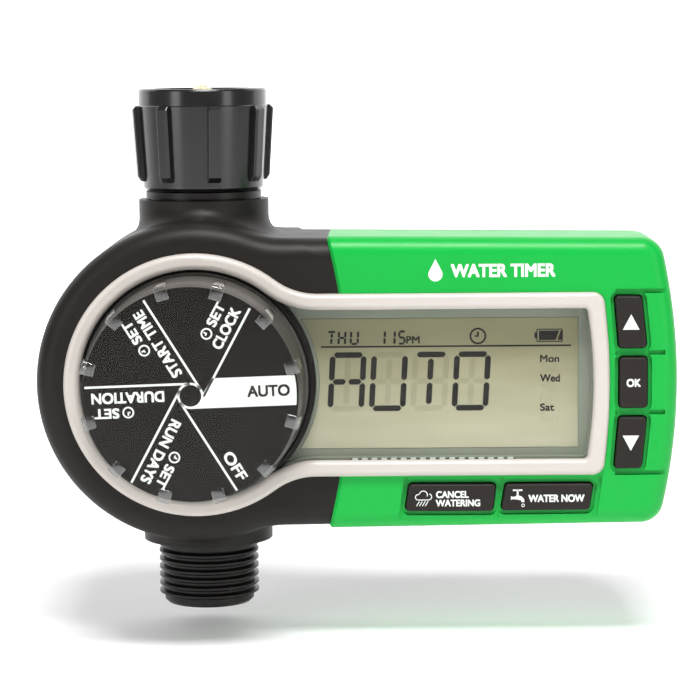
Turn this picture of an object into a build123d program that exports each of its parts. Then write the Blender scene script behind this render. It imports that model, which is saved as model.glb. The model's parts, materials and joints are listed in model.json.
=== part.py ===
from build123d import *
import math
import os

# Hose-end irrigation controller: a battery timer with a solenoid valve.
# X runs right along the display, Y runs to the back, Z runs up.
# The origin is the centre of the swivel nut's mouth, on the water pipe's axis.

# Driving dimensions, millimetres
AXIS_Z = -76.4            # height of the dial axis and of the valve axis
DIAL_X = -1.0             # dial axis, just left of the pipe axis
GAP = 0.3                 # space between pieces that move past each other

FRONT_Y = -28.4           # front face of the black drum
GREEN_Y = -29.2           # front face of the green cover
BACK_Y = 13.0             # back of the electronics end
DRUM_BACK_Y = 20.5        # back of the drum
DRUM_R = 42.1
HALF_LEFT = 37.8          # half height of the straight part where it leaves the drum
HALF_RIGHT = 36.8         # and at its right end
END_X = 119.2             # right end at the corners
END_BULGE = 4.7           # how far the right end bows out between them
END_CORNER_R = 5.5
NECK_R = 22.0             # concave blend between drum and straight part
EDGE_R = 5.5              # rounded front edge of the black housing
REAR_EDGE_R = 4.0
DRUM_HUMP_R = 46.0        # the deep part at the back is this large about the dial axis
COLLAR_R = 17.4
COLLAR_TOP_Z = -29.4
COLLAR_LOW_Z = -121.5
COLLAR_BLEND_R = 4.5
WALL = 2.4
GREEN_OUT = 0.6           # how far the green cover stands proud of the black housing
GREEN_IN = 1.8            # how far it is let into it
GREEN_REAR_Y = -1.2
GREEN_EDGE_R = 4.5
SEAM_X = 38.3             # seam between black and green at mid height
SEAM_R = 150.0

DIAL_WELL_R = 29.9
DIAL_WELL_Y = -25.6
BEZEL_R = 34.4
BEZEL_W = 4.2
BEZEL_LET_W = 2.6         # width of the part let into the green cover
BEZEL_HALF = 23.9
BEZEL_X = 106.6
BEZEL_Z = -76.65
BEZEL_BOW = 1.7           # how far its right side bows out
BEZEL_NECK_R = 18.0
BEZEL_FRONT_Y = -30.8

# Threads: 3/4-11.5 hose thread
PITCH = 25.4 / 11.5
OUTLET_MAJOR_R = 13.49
OUTLET_ROOT_R = 12.25
NUT_MINOR_R = 12.3
NUT_ROOT_R = 13.65
CREST_W = 0.55
OUTLET_CRESTS = 6
OUTLET_FIRST_Z = -124.9
PIPE_R = 13.0
PIPE_BORE_R = 8.0
OUTLET_END_Z = -139.0

# Swivel nut
NUT_H = 26.9
NUT_R = 17.2
NUT_SHELF_Z = -4.3        # below this the nut is a little wider
NUT_RIB_R = 19.05
NUT_RIB_W = 3.5
NUT_RIBS = 8
NUT_RIB_PHASE = -76.4     # degrees from +X
TAIL_TOP_Z = -14.6
TAIL_LIP_LOW_Z = -17.1
TAIL_LIP_R = 12.4
TAIL_NECK_R = 10.6
TAIL_STEM_R = 10.0
TAIL_END_Z = -40.0
FLANGE_TOP_Z = -27.25
FLANGE_LOW_Z = -28.8
WASHER_TOP_Z = -12.2
WASHER_R = (8.7, 12.2)

# Board, display and battery stack, from front to back
LCD_X = (24.0, 98.7)
LCD_Z = (-93.9, -59.8)
LCD_FRONT_Y = -24.2
LCD_BACK_Y = -21.4
LENS_Y = (-28.35, -27.2)  # front and back of the display window
WELL_RING_W = 1.3         # housing wall left round the dial well
HOLDER_RIM_Y = -27.1
PIN_COUNT = 17
PIN_PITCH = 2.54
PIN_FIRST_X = 40.3
PIN_W = 1.5
PIN_Z = (-96.95, -96.4)
PIN_FRONT_Y = -24.6
BOARD_Y = -19.0
BOARD_T = 1.6
BOARD_POSTS = [(45.0, -51.0), (100.0, -51.0), (45.0, -100.1), (100.0, -100.1)]
POST_R = 2.3
TRAY_X = (54.4, 113.6)
TRAY_Z = (-92.6, -60.2)
TRAY_FLOOR_Y = -7.2
TRAY_RIM_Y = 8.6
TRAY_WALL = 1.2
CELL_R = 7.1
CELL_L = 49.2
CELL_NUB_L = 1.3
CELL_PITCH = 15.2
CELL_Y = 1.2
CONTACT_T = 0.5
DOOR_X = 52.0
DOOR_HALF = 20.0
DOOR_STEP_Y = 11.2        # the door's visible layer is behind this, its tongues in front
DOOR_TONGUE_Y = 9.9
DOOR_TONGUE = 1.5

# Valve and solenoid, on an axis along X
CHAMBER_R = 15.3
CHAMBER_X = (-11.0, 9.0)
RING_CHANNEL_R = 12.2
NOZZLE_R = 7.0
NOZZLE_BORE_R = 5.0
DIAPHRAGM_T = 1.6
BONNET_END_X = 15.0
BONNET_SCREW_RING_R = 13.75
GUIDE_R = 6.2
GUIDE_END_X = 38.9
PLUNGER_R = 4.5
PLUNGER_BORE_R = 4.56
PLUNGER_X = (11.9, 33.9)
PLUNGER_BORE_END_X = 37.9
COIL_R = 10.0
COIL_X = (15.6, 38.4)
LEAD_R = 0.75
LEAD_Y = -9.0

SCREWS = [(-26.0, -51.0), (-26.0, -101.0), (22.0, -48.5), (22.0, -103.5),
          (66.0, -44.9), (112.0, -44.9), (112.0, -107.1)]
BOSS_R = 3.2
REAR_BOSS_R = 4.0
SCREW_R = 1.2
HEAD_R = 2.8
HEAD_T = 2.0
SCREW_SEAT_Y = 6.0
SCREW_TIP_Y = -12.0

# Button outlines: corners as (x, z), clockwise from top left
BUTTONS = {
    "up_button": [(107.8, -53.8), (114.8, -53.9), (116.2, -67.3), (109.0, -67.4)],
    "ok_button": [(109.1, -69.8), (116.3, -69.8), (116.3, -83.0), (109.1, -83.0)],
    "down_button": [(109.0, -85.4), (116.2, -85.4), (114.8, -98.8), (107.8, -98.9)],
    "cancel_button": [(54.4, -102.7), (77.0, -102.8), (76.1, -109.9), (53.3, -109.8)],
    "water_now_button": [(79.5, -102.8), (102.3, -102.8), (101.2, -109.7), (78.3, -109.8)],
}
BUTTON_FRONT_Y = -30.2
BUTTON_BACK_Y = -23.4
FLANGE_FRONT_Y = -24.9
BUTTON_FLANGE = 0.8
RECESS_W = 1.2
RECESS_Y = -28.0
GROOVE_W = 1.2

# Dial knob
KNOB_BASE_R = 29.4
KNOB_FRONT_R = 28.2
KNOB_RIM_Y = -28.4        # the cap stands on the carrier's rim here
KNOB_BACK_Y = -26.2
KNOB_FRONT_Y = -48.9
CAP_WALL = 0.7
DISC_R = 27.35
DISC_Y = (-48.05, -47.5)
CAP_INSIDE_Y = -48.2
SPINDLE_R = 4.7
SWITCH_BORE_R = 4.75
SPINDLE_END_Y = -19.4
SWITCH_FRONT_Y = -22.8


def save(name, shape):
    """Write one named piece."""
    export_step(shape, "parts/" + name + ".step")


def facing(y):
    """Plane at depth y that is drawn on from the front: x stays X and y is Z."""
    return Plane(origin=(0, y, 0), x_dir=(1, 0, 0), z_dir=(0, -1, 0))


def plate(sketch, back, front):
    """Extrude a front-view sketch from depth back forward to depth front."""
    return extrude(facing(back) * sketch, amount=back - front)


def rect(x0, x1, z0, z1):
    """Rectangle in the front view."""
    return Pos((x0 + x1) / 2, (z0 + z1) / 2) * Rectangle(x1 - x0, z1 - z0)


def disc(x, z, radius):
    """Circle in the front view."""
    return Pos(x, z) * Circle(radius)


def block(x0, x1, y0, y1, z0, z1):
    """Box from its limits."""
    centre = Pos((x0 + x1) / 2, (y0 + y1) / 2, (z0 + z1) / 2)
    return centre * Box(x1 - x0, y1 - y0, z1 - z0)


def turned(points):
    """Solid of revolution about the pipe axis from (radius, z) points."""
    return revolve(Plane.XZ * make_face(Polyline(*points, close=True)), Axis.Z, 360)


def rod_z(radius, z0, z1, x=0.0, y=0.0):
    """Cylinder along Z."""
    return Pos(x, y, (z0 + z1) / 2) * Cylinder(radius, abs(z1 - z0))


def rod_x(radius, x0, x1, y=0.0, z=AXIS_Z):
    """Cylinder along X, by default on the valve axis."""
    return Pos((x0 + x1) / 2, y, z) * Rot(0, 90, 0) * Cylinder(radius, abs(x1 - x0))


def ring_x(outer, inner, x0, x1):
    """Ring along X on the valve axis."""
    return rod_x(outer, x0, x1) - rod_x(inner, x0 - 1, x1 + 1)


def body_outline(inset):
    """Drum with the straight electronics part beside it, inset all round."""
    drum = disc(DIAL_X, AXIS_Z, DRUM_R - inset)
    left_top = (DIAL_X, AXIS_Z + HALF_LEFT + 0.4 - inset)
    left_low = (DIAL_X, AXIS_Z - HALF_LEFT - 0.4 + inset)
    end_top = (END_X - inset, AXIS_Z + HALF_RIGHT - inset)
    end_low = (END_X - inset, AXIS_Z - HALF_RIGHT + inset)
    end_mid = (END_X + END_BULGE - inset, AXIS_Z)
    edge = [Line(left_low, left_top), Line(left_top, end_top),
            ThreePointArc(end_top, end_mid, end_low), Line(end_low, left_low)]
    straight = make_face(edge)
    corners = [v for v in straight.vertices() if v.X > END_X - inset - 1]
    straight = fillet(corners, END_CORNER_R - min(inset, 4.5))
    joined = drum + straight
    necks = [v for v in joined.vertices() if DIAL_X < v.X < 40]
    return fillet(necks, NECK_R + inset)


def right_of_seam(shift):
    """Region right of the curved seam; shift moves its edge to the right."""
    top = AXIS_Z + 60
    low = AXIS_Z - 60
    drop = SEAM_R - math.sqrt(SEAM_R ** 2 - 60 ** 2)
    arc = ThreePointArc((SEAM_X - drop + shift, low), (SEAM_X + shift, AXIS_Z),
                        (SEAM_X - drop + shift, top))
    rest = Polyline((SEAM_X - drop + shift, top), (160, top), (160, low),
                    (SEAM_X - drop + shift, low))
    return make_face([arc, rest])


def bezel_outline(inset):
    """Keyhole: ring round the dial running into a frame round the display."""
    ring = disc(DIAL_X, AXIS_Z, BEZEL_R - inset)
    top = BEZEL_Z + BEZEL_HALF - inset
    low = BEZEL_Z - BEZEL_HALF + inset
    right = BEZEL_X - BEZEL_BOW - inset
    frame = make_face([Line((DIAL_X, low), (DIAL_X, top)), Line((DIAL_X, top), (right, top)),
                       ThreePointArc((right, top), (BEZEL_X - inset, BEZEL_Z), (right, low)),
                       Line((right, low), (DIAL_X, low))])
    frame = fillet([v for v in frame.vertices() if v.X > 90], 3.2 - 0.5 * inset)
    joined = ring + frame
    necks = [v for v in joined.vertices() if DIAL_X < v.X < 45]
    return fillet(necks, BEZEL_NECK_R + inset)


def button_outline(name, grow):
    """Rounded quadrilateral of a button, grown by an offset."""
    face = make_face(Polyline(*BUTTONS[name], close=True))
    face = fillet(face.vertices(), 1.0)
    if grow == 0:
        return face
    return offset(face, grow)


def rounded_body(outline, back):
    """Extruded outline with its front and back edges rounded."""
    body = plate(outline, back, FRONT_Y)
    body = fillet(body.faces().sort_by(Axis.Y)[0].edges(), EDGE_R)
    return fillet(body.faces().sort_by(Axis.Y)[-1].edges(), REAR_EDGE_R)


def on_collar(edge):
    """True for the curves where the two collars run into the body."""
    points = [edge.position_at(t) for t in (0.1, 0.5, 0.9)]
    close = all(abs(math.hypot(p.X, p.Y) - COLLAR_R) < 0.05 for p in points)
    return close and COLLAR_LOW_Z + 1 < edge.center().Z < COLLAR_TOP_Z - 1


def outer_solid():
    """The whole housing's outside as one solid: deep at the drum, shallow at the display."""
    deep = rounded_body(body_outline(0), DRUM_BACK_Y)
    deep = deep + rod_z(COLLAR_R, COLLAR_LOW_Z, COLLAR_TOP_Z)
    deep = fillet([e for e in deep.edges() if on_collar(e)], COLLAR_BLEND_R)
    hump = plate(disc(DIAL_X, AXIS_Z, DRUM_HUMP_R), DRUM_BACK_Y, FRONT_Y)
    hump = fillet(hump.faces().sort_by(Axis.Y)[-1].edges(), REAR_EDGE_R)
    reach = COLLAR_R + COLLAR_BLEND_R - 1.5
    collars = block(-reach, reach, -30, 30, COLLAR_LOW_Z - 1, AXIS_Z - 30)
    collars = collars + block(-reach, reach, -30, 30, AXIS_Z + 30, COLLAR_TOP_Z + 1)
    return (deep & (hump + collars)) + rounded_body(body_outline(0), BACK_Y)


def half(solid, front):
    """Front or back half of a solid, split at the pipe axis."""
    if front:
        return solid & block(-60, 140, -60, 0, -150, 10)
    return solid & block(-60, 140, 0, 60, -150, 10)


def turned_dial(points):
    """Solid of revolution about the dial axis from (radius, y) points."""
    plane = Plane(origin=(DIAL_X, 0, AXIS_Z), x_dir=(1, 0, 0), z_dir=(0, 0, 1))
    axis = Axis((DIAL_X, 0, AXIS_Z), (0, 1, 0))
    return revolve(plane * make_face(Polyline(*points, close=True)), axis, 360)


def ridges(root, crest, first, count, base):
    """Thread crests as rings: base is their width at the root radius."""
    rings = []
    buried = root - 0.2 if crest > root else root + 0.2
    for turn in range(count):
        z = first - turn * PITCH
        rings.append(turned([(buried, z + base / 2), (root, z + base / 2),
                             (crest, z + CREST_W / 2), (crest, z - CREST_W / 2),
                             (root, z - base / 2), (buried, z - base / 2)]))
    return rings


def all_buttons(grow, back, front):
    """The five button outlines, grown and extruded, as one cutter."""
    return [plate(button_outline(name, grow), back, front) for name in BUTTONS]


def lens_outline(inset):
    """Display window: it reaches under the bezel and is cut round for the knob."""
    outline = bezel_outline(BEZEL_LET_W + 0.1 + inset)
    outline = outline - disc(DIAL_X, AXIS_Z, DIAL_WELL_R + 0.7 + inset)
    return outline & rect(19.5 + inset, 120, -110, -40)


def window_hole(inset):
    """Opening in the housing behind the display window."""
    hole = bezel_outline(BEZEL_W - 0.5 + inset)
    hole = hole - disc(DIAL_X, AXIS_Z, DIAL_WELL_R + WELL_RING_W + inset)
    return hole & rect(21.0 + inset, 120, -110, -40)


def lcd_outline(grow):
    """Display glass, its left end cut round for the dial well."""
    sheet = rect(LCD_X[0] - grow, LCD_X[1] + grow, LCD_Z[0] - grow, LCD_Z[1] + grow)
    return sheet - disc(DIAL_X, AXIS_Z, DIAL_WELL_R + WELL_RING_W + 1.0 - grow)


def make_front_housing(outer):
    """Black front half: drum, dial well, and the let-in part under the green cover."""
    body = half(outer, True)
    kept = plate(body_outline(GREEN_IN), 5, GREEN_Y + 2.0)
    body = body - (plate(right_of_seam(0), GREEN_REAR_Y, -40) - kept)
    body = body - plate(body_outline(WALL) - right_of_seam(-2.0), 1, -26.0)
    body = body - plate(body_outline(GREEN_IN + 1.4) & right_of_seam(-2.5), 1, -25.2)
    body = body + plate(disc(DIAL_X, AXIS_Z, DIAL_WELL_R + 1.0), DIAL_WELL_Y + 2.4, -26.5)
    for x, z in SCREWS:
        body = body + plate(disc(x, z, BOSS_R), 0, -26.5)
    for x, z in BOARD_POSTS:
        body = body + plate(disc(x, z, POST_R), BOARD_Y, -25.5)
    body = body - plate(disc(DIAL_X, AXIS_Z, DIAL_WELL_R), DIAL_WELL_Y, -40)
    body = body - plate(disc(DIAL_X, AXIS_Z, SPINDLE_R + GAP), 0, -40)
    body = body - plate(window_hole(0), -20, -40)
    body = body - plate(lens_outline(-0.05), LENS_Y[1], -40)
    body = body - all_buttons(GAP, -10, -40)
    body = body - all_buttons(BUTTON_FLANGE + GAP, -20, -25.2)
    for x, z in SCREWS:
        body = body - plate(disc(x, z, SCREW_R + 0.05), 1, SCREW_TIP_Y - 1)
    for x, z in BOARD_POSTS:
        body = body - plate(disc(x, z, 0.85), 1, -24.4)
    return body - rod_z(PIPE_R, -150, 10)


def make_rear_housing(outer):
    """Black back half with screw bosses and the slideway of the battery door."""
    body = half(outer, False)
    body = body - plate(body_outline(WALL), BACK_Y - WALL, -1)
    hollow = disc(DIAL_X, AXIS_Z, DRUM_HUMP_R - WALL) & body_outline(WALL)
    body = body - plate(hollow, DRUM_BACK_Y - WALL, -1)
    top = AXIS_Z + DOOR_HALF + DOOR_TONGUE + 1.5
    low = AXIS_Z - DOOR_HALF - DOOR_TONGUE - 1.5
    body = body + block(DOOR_X - 1.5, 118.5, TRAY_RIM_Y, BACK_Y - WALL + 0.2, low, top)
    for x, z in SCREWS:
        body = body + (plate(disc(x, z, REAR_BOSS_R), 30, 0) & half(outer, False))
    for x, z in SCREWS:
        body = body - plate(disc(x, z, HEAD_R + GAP), 30, SCREW_SEAT_Y)
        body = body - plate(disc(x, z, SCREW_R + GAP), 30, -1)
    body = body - door_prism(GAP)
    body = body - block(TRAY_X[0] + TRAY_WALL, TRAY_X[1] - TRAY_WALL, 0, 12,
                        TRAY_Z[0] + TRAY_WALL, TRAY_Z[1] - TRAY_WALL)
    return body - rod_z(PIPE_R, -150, 10)


def door_prism(grow):
    """T-shaped section of the battery door, endless to the right."""
    half_wide = DOOR_HALF + DOOR_TONGUE + grow
    tongues = block(DOOR_X - grow, 150, DOOR_TONGUE_Y - grow, DOOR_STEP_Y + grow,
                    AXIS_Z - half_wide, AXIS_Z + half_wide)
    half_slim = DOOR_HALF + grow
    cover = block(DOOR_X - grow, 150, DOOR_STEP_Y, 30, AXIS_Z - half_slim, AXIS_Z + half_slim)
    return tongues + cover


def make_battery_door():
    """Sliding cover at the back, with finger grooves near its end."""
    door = door_prism(0) & rounded_body(body_outline(0), BACK_Y)
    for step in range(4):
        x = 104.0 + 3.2 * step
        door = door - block(x, x + 1.4, BACK_Y - 0.8, BACK_Y + 1, AXIS_Z - 12, AXIS_Z + 12)
    return door


def make_green_cover():
    """Green fascia with its window, button holes and grooves."""
    body = plate(body_outline(-GREEN_OUT), GREEN_REAR_Y, GREEN_Y)
    body = fillet(body.faces().sort_by(Axis.Y)[0].edges(), GREEN_EDGE_R)
    body = body & plate(right_of_seam(0), GREEN_REAR_Y, GREEN_Y)
    seam = [e for e in body.faces().sort_by(Axis.Y)[0].edges() if e.center().X < SEAM_X + 1]
    body = chamfer(seam, 0.75)
    body = body - plate(body_outline(GREEN_IN), 5, GREEN_Y + 2.0)
    body = body - plate(bezel_outline(-0.05), 5, -40)
    body = body - all_buttons(GAP, 5, -40)
    body = body - all_buttons(RECESS_W, RECESS_Y, -40)
    for z in (-52.6, -68.6, -84.2, -100.1):
        body = body - block(108.0, 121.0, -40, RECESS_Y, z - GROOVE_W / 2, z + GROOVE_W / 2)
    for x in (52.7, 77.6, 103.2):
        slant = Pos(x, -35, -108.0) * Rot(0, 8, 0) * Box(GROOVE_W, 13.0, 14.0)
        body = body - slant
    return body


def make_bezel():
    """Half-round trim let into the green cover and lying on the black drum."""
    ring = bezel_outline(0) - bezel_outline(BEZEL_W)
    trim = plate(ring, FRONT_Y, BEZEL_FRONT_Y)
    trim = fillet(trim.faces().sort_by(Axis.Y)[0].edges(), 1.5)
    let_in = bezel_outline(0) - bezel_outline(BEZEL_LET_W)
    return trim + plate(let_in & right_of_seam(0.05), GREEN_Y + 2.0, FRONT_Y)


def make_lcd_holder():
    """Frame that carries the display on the board and fills the window round it."""
    front = LCD_FRONT_Y + 0.1
    rim = window_hole(0.1) - bezel_outline(BEZEL_W + 0.4)
    frame = plate(window_hole(0.1), BOARD_Y, front) + plate(rim, front, HOLDER_RIM_Y)
    frame = frame - plate(lcd_outline(0.1), LCD_BACK_Y, -40)
    frame = frame - plate(lcd_outline(-2.5), BOARD_Y + 1, -40)
    last = PIN_FIRST_X + PIN_PITCH * (PIN_COUNT - 1)
    return frame - block(PIN_FIRST_X - PIN_W, last + PIN_W, -30, BOARD_Y + 1,
                         PIN_Z[0] - 1, PIN_Z[1] + 0.1)


def make_lcd_pins():
    """Pins along the foot of the display's frame, down to the board."""
    return Compound(children=[block(x - PIN_W / 2, x + PIN_W / 2, PIN_FRONT_Y, BOARD_Y, *PIN_Z)
                              for x in [PIN_FIRST_X + n * PIN_PITCH for n in range(PIN_COUNT)]])


def make_board():
    """Circuit board behind the dial and the display, notched round the bosses."""
    sketch = body_outline(4.4) & rect(-22, 118, -112, -40)
    for x, z in SCREWS:
        sketch = sketch - disc(x, z, BOSS_R + 0.6)
    for x, z in BOARD_POSTS:
        sketch = sketch - disc(x, z, 0.95)
    return plate(sketch, BOARD_Y + BOARD_T, BOARD_Y)


def make_board_parts():
    """Processor, crystal, capacitor and driver on the back of the board."""
    back = BOARD_Y + BOARD_T
    chips = [block(62, 74, back, back + 1.8, -82, -70), block(82, 90, back, back + 1.6, -70, -65),
             block(80, 84, back, back + 1.3, -84, -76)]
    chips.append(plate(disc(98, -76, 3.2), back + 7.0, back))
    chips.append(plate(disc(106, -70, 2.6), back + 6.0, back))
    return Compound(children=chips)


def make_board_screws():
    """Screws that hold the board to its posts."""
    back = BOARD_Y + BOARD_T
    return Compound(children=[plate(disc(x, z, 0.8), back, -24.0)
                              + plate(disc(x, z, 1.8), back + 1.3, back)
                              for x, z in BOARD_POSTS])


def make_keypad_mats():
    """Rubber mat with a dome behind each button."""
    sheet = rect(107.4, 116.0, -99.4, -53.4) + rect(53.0, 102.6, -109.4, -102.4)
    mat = plate(sheet, BOARD_Y, BOARD_Y - 0.9)
    mat = mat - [plate(disc(x, z, 3.4), 0, -40) for x, z in SCREWS]
    for corners in BUTTONS.values():
        x = sum(corner[0] for corner in corners) / 4
        z = sum(corner[1] for corner in corners) / 4
        mat = mat + plate(disc(x, z, 2.4), BOARD_Y - 0.5, -22.2)
    return mat


def make_button(name):
    """Rigid key cap with a retaining flange behind the housing wall."""
    key = plate(button_outline(name, 0), BUTTON_BACK_Y, BUTTON_FRONT_Y)
    key = fillet(key.faces().sort_by(Axis.Y)[0].edges(), 0.6)
    return key + plate(button_outline(name, BUTTON_FLANGE), BUTTON_BACK_Y, FLANGE_FRONT_Y)


def make_dial_cap():
    """Clear cap: a tapered cup over the printed disc."""
    return turned_dial([(KNOB_BASE_R, KNOB_RIM_Y), (KNOB_FRONT_R, KNOB_FRONT_Y + 0.8),
                        (KNOB_FRONT_R - 0.7, KNOB_FRONT_Y), (0, KNOB_FRONT_Y), (0, CAP_INSIDE_Y),
                        (KNOB_FRONT_R - CAP_WALL, CAP_INSIDE_Y),
                        (KNOB_BASE_R - CAP_WALL, KNOB_RIM_Y)])


def make_dial_carrier():
    """Grey cup with a rim, ribs and the spindle that turns the switch."""
    skin = CAP_WALL + 0.05
    rim = KNOB_RIM_Y + 0.05
    cup = turned_dial([(KNOB_BASE_R, KNOB_BACK_Y), (KNOB_BASE_R, rim), (KNOB_BASE_R - skin, rim),
                       (KNOB_FRONT_R - skin, DISC_Y[1]), (0, DISC_Y[1]), (0, SPINDLE_END_Y),
                       (SPINDLE_R, SPINDLE_END_Y), (SPINDLE_R, DISC_Y[1] + 1.8),
                       (KNOB_FRONT_R - skin - 1.8, DISC_Y[1] + 1.8),
                       (KNOB_BASE_R - skin - 1.8, KNOB_BACK_Y)])
    for angle in (0, 60, 120):
        rib = Box(52.6, 18.0, 1.2) - Box(2 * SPINDLE_R - 1, 20.0, 2.0)
        cup = cup + Pos(DIAL_X, -37.2, AXIS_Z) * Rot(0, angle, 0) * rib
    return cup


def make_swivel_nut():
    """Ribbed hose nut: female thread, then a shoulder that hooks the tailpiece."""
    hole = TAIL_NECK_R + GAP
    pocket = TAIL_LIP_R + GAP
    shoulder = TAIL_LIP_LOW_Z - GAP
    nut = turned([(14.5, 0), (16.8, 0), (NUT_R - 0.05, -0.5), (NUT_R - 0.05, NUT_SHELF_Z),
                  (NUT_R + 0.2, NUT_SHELF_Z - 0.25), (16.1, 0.8 - NUT_H), (15.4, -NUT_H),
                  (hole, -NUT_H), (hole, shoulder), (pocket, shoulder), (pocket, -12.0),
                  (NUT_ROOT_R, -11.5), (NUT_ROOT_R, -0.9)])
    rib_side = [(14.9, -4.2), (18.2, -4.4), (NUT_RIB_R, -5.4), (17.9, -23.2), (17.0, -24.5),
                (14.9, -24.5)]
    rib = extrude(Plane.XZ * make_face(Polyline(*rib_side, close=True)), NUT_RIB_W / 2, both=True)
    outer_edges = [e for e in rib.edges() if e.center().X > 16.5 and abs(e.center().Y) > 1]
    rib = fillet(outer_edges, 0.5)
    for index in range(NUT_RIBS):
        nut = nut + Rot(0, 0, NUT_RIB_PHASE + 360 / NUT_RIBS * index) * rib
    return nut + ridges(NUT_ROOT_R, NUT_MINOR_R, -1.6, 5, 1.6)


def make_tailpiece():
    """Tube whose lip holds the nut; its stem is fixed in the valve body."""
    bore = PIPE_BORE_R
    return turned([(bore, TAIL_TOP_Z), (TAIL_LIP_R, TAIL_TOP_Z), (TAIL_LIP_R, TAIL_LIP_LOW_Z),
                   (TAIL_NECK_R, TAIL_LIP_LOW_Z), (TAIL_NECK_R, FLANGE_TOP_Z),
                   (TAIL_STEM_R, FLANGE_TOP_Z), (TAIL_STEM_R, TAIL_END_Z), (bore, TAIL_END_Z)])


def make_washer():
    """Flat hose washer on the tailpiece."""
    return turned([(WASHER_R[0], WASHER_TOP_Z), (WASHER_R[1], WASHER_TOP_Z),
                   (WASHER_R[1], TAIL_TOP_Z), (WASHER_R[0], TAIL_TOP_Z)])


def make_strainer():
    """Cone strainer that stands up in the nut's mouth."""
    return turned([(8.6, TAIL_TOP_Z), (8.6, -13.9), (8.0, -13.9), (2.6, 0.4), (1.6, 1.0), (0, 1.0),
                   (0, 0.5), (1.4, 0.4), (2.1, 0.0), (7.3, -13.9), (7.3, TAIL_TOP_Z)])


def make_valve_body():
    """Pipe with flange, valve chamber and outlet thread, bored for the water way."""
    pipe = turned([(0, FLANGE_TOP_Z), (15.45, FLANGE_TOP_Z), (15.45, FLANGE_LOW_Z),
                   (14.4, FLANGE_LOW_Z), (14.4, COLLAR_TOP_Z), (PIPE_R, COLLAR_TOP_Z),
                   (PIPE_R, COLLAR_LOW_Z), (13.3, COLLAR_LOW_Z), (13.3, -123.6),
                   (OUTLET_ROOT_R, -124.0), (OUTLET_ROOT_R, -137.0), (12.1, -137.0),
                   (12.1, OUTLET_END_Z + 0.8), (11.3, OUTLET_END_Z), (0, OUTLET_END_Z)])
    body = pipe + rod_x(CHAMBER_R, *CHAMBER_X) - rod_x(CHAMBER_R + 1, CHAMBER_X[1], 20)
    body = body + ridges(OUTLET_ROOT_R, OUTLET_MAJOR_R, OUTLET_FIRST_Z, OUTLET_CRESTS, 1.7)
    body = body - ring_x(RING_CHANNEL_R, NOZZLE_R, CHAMBER_X[1] - 7, CHAMBER_X[1] + 5)
    body = body - rod_x(NOZZLE_R + 0.1, CHAMBER_X[1] - 0.4, CHAMBER_X[1] + 5)
    body = body - rod_z(TAIL_STEM_R, TAIL_END_Z, 0)
    body = body - rod_z(PIPE_BORE_R, -66.0, TAIL_END_Z + 1)
    body = body - rod_x(NOZZLE_BORE_R, -3.5, 20) - rod_z(NOZZLE_BORE_R, -97.0, AXIS_Z, x=-3.5)
    body = body - rod_z(PIPE_BORE_R, OUTLET_END_Z - 1, -95.0)
    return body - bonnet_screw_rods(0.85, 4.0, 20.0)


def bonnet_screw_rods(radius, x0, x1):
    """Four rods along X on the bonnet's screw circle."""
    rods = []
    for index in range(4):
        angle = math.radians(45 + 90 * index)
        y = BONNET_SCREW_RING_R * math.cos(angle)
        z = AXIS_Z + BONNET_SCREW_RING_R * math.sin(angle)
        rods.append(rod_x(radius, x0, x1, y, z))
    return rods


def make_diaphragm():
    """Rubber disc clamped between chamber and bonnet, thicker at the nozzle."""
    end = CHAMBER_X[1] + DIAPHRAGM_T
    disc_part = rod_x(CHAMBER_R, CHAMBER_X[1], end) + rod_x(NOZZLE_R + 1, end, end + 1.0)
    return disc_part - rod_x(0.5, 0, 20) - bonnet_screw_rods(0.85, 4.0, 20.0)


def make_bonnet():
    """Bonnet with the plunger's guide tube."""
    start = CHAMBER_X[1] + DIAPHRAGM_T
    bonnet = rod_x(CHAMBER_R, start, BONNET_END_X) + rod_x(GUIDE_R, start, GUIDE_END_X)
    bonnet = bonnet - rod_x(11.8, start - 1, start + 1.6)
    bonnet = bonnet - rod_x(PLUNGER_BORE_R, start - 1, PLUNGER_BORE_END_X)
    return bonnet - bonnet_screw_rods(0.85, 4, 20)


def make_bonnet_screws():
    """Four screws through bonnet and diaphragm."""
    shanks = bonnet_screw_rods(0.8, 5.0, BONNET_END_X)
    heads = bonnet_screw_rods(1.5, BONNET_END_X, BONNET_END_X + 1.2)
    return Compound(children=[shank + head for shank, head in zip(shanks, heads)])


def make_coil():
    """Wound bobbin round the guide tube."""
    bore = GUIDE_R + 0.05
    coil = ring_x(COIL_R, bore, *COIL_X)
    coil = coil + ring_x(COIL_R + 1, bore, COIL_X[0], COIL_X[0] + 1.0)
    return coil + ring_x(COIL_R + 1, bore, COIL_X[1] - 1.0, COIL_X[1])


def make_coil_frame():
    """Steel yoke over the coil's top and end."""
    top_z = AXIS_Z + COIL_R + 1
    yoke = block(COIL_X[0], COIL_X[1] + 1, -7.5, 7.5, top_z, top_z + 1.2)
    end = block(COIL_X[1], COIL_X[1] + 1, -7.5, 7.5, AXIS_Z - 9, top_z)
    return yoke + end - rod_x(GUIDE_R + 0.05, 0, 60)


def make_spring(start, end, coil_r, wire_r, turns):
    """Round-wire spring along X from its end centres."""
    length = end[0] - start[0] - 2 * wire_r
    path = Helix(pitch=length / turns, height=length, radius=coil_r)
    wire = sweep(Plane(origin=path @ 0, z_dir=path % 0) * Circle(wire_r), path=path)
    return Pos(start[0] + wire_r, start[1], start[2]) * Rot(0, 90, 0) * wire


def make_leads():
    """Two wires from the coil forward to the board."""
    leads = []
    for z in (AXIS_Z + 3.0, AXIS_Z - 3.0):
        route = FilletPolyline((COIL_X[1], LEAD_Y, z), (COIL_X[1] + 6.0, LEAD_Y, z),
                               (COIL_X[1] + 6.0, BOARD_Y + BOARD_T, z), radius=3.0)
        section = Plane(origin=route @ 0, z_dir=route % 0) * Circle(LEAD_R)
        leads.append(sweep(section, path=route))
    return Compound(children=leads)


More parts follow.
